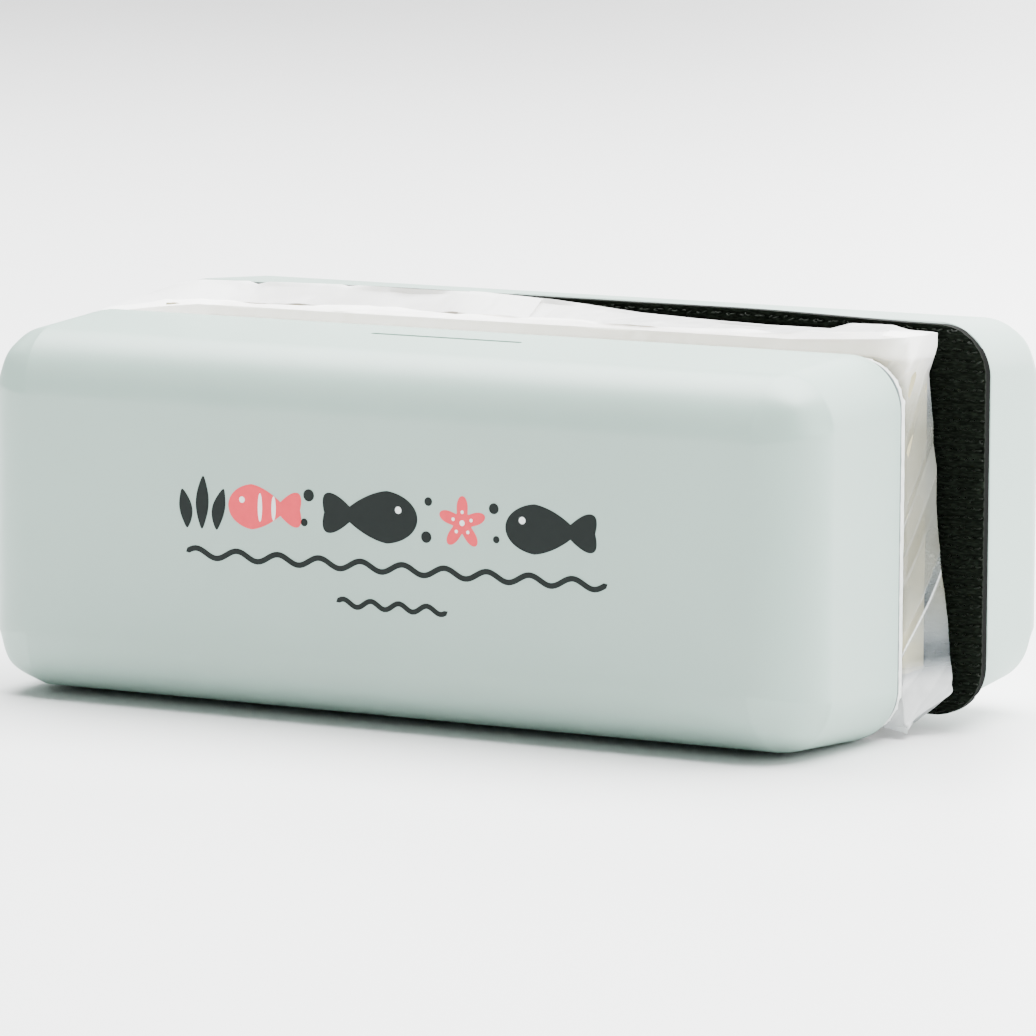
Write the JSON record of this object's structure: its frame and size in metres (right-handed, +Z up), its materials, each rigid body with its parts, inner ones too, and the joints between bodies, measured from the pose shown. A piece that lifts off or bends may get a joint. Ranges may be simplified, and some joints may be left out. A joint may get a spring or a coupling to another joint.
{
  "type": "magnetic glass cleaner",
  "caption": "Magnetic glass cleaner: rounded handle with a felt pad and a floating half with a hook scrub pad, held apart by a film-wrapped card spacer.",
  "frame": {"origin": "middle of the bottom of the whole object's bounding box, on the surface that it stands on", "axes": "+X along the length, to the right as seen from the printed outer face; +Y from the outer half through the spacer to the floating half; +Z up"},
  "size_m": [0.1394, 0.0666, 0.0564],
  "materials": {
    "shell_plastic": "satin",
    "base_plastic": "satin",
    "seal_rubber": "matte",
    "tray_plastic": "matte",
    "ferrite": "matte",
    "yoke_steel": "satin",
    "foam": "matte",
    "pad_tape": "matte",
    "felt": "matte",
    "hook_fabric": "matte",
    "clear_film": "gloss",
    "card_liner": "matte",
    "card_flute": "matte"
  },
  "bodies": {
    "outer_half": {"outer_shell": "shell_plastic", "outer_base_plate": "base_plastic", "outer_seal_ring": "seal_rubber", "outer_magnet_tray": "tray_plastic", "outer_magnet_1": "ferrite", "outer_magnet_2": "ferrite", "outer_magnet_3": "ferrite", "outer_magnet_4": "ferrite", "outer_yoke_plate": "yoke_steel", "outer_foam_block": "foam", "outer_pad_tape": "pad_tape", "outer_felt_pad": "felt"},
    "float_half": {"float_shell": "shell_plastic", "float_base_plate": "base_plastic", "float_seal_ring": "seal_rubber", "float_magnet_tray": "tray_plastic", "float_magnet_1": "ferrite", "float_magnet_2": "ferrite", "float_magnet_3": "ferrite", "float_magnet_4": "ferrite", "float_foam_block": "foam", "float_pad_tape": "pad_tape", "float_hook_pad": "hook_fabric"},
    "spacer": {"film_wrap": "clear_film", "card_outer_liner": "card_liner", "card_flute": "card_flute", "card_inner_liner": "card_liner"}
  },
  "joints": [
    {"name": "float_pull", "type": "slide", "parent": "outer_half", "child": "float_half", "axis": [0, 1, 0], "range_m": [0, 0.06]},
    {"name": "spacer_lift", "type": "slide", "parent": "outer_half", "child": "spacer", "axis": [0, 0, 1], "range_m": [0, 0.06]}
  ]
}
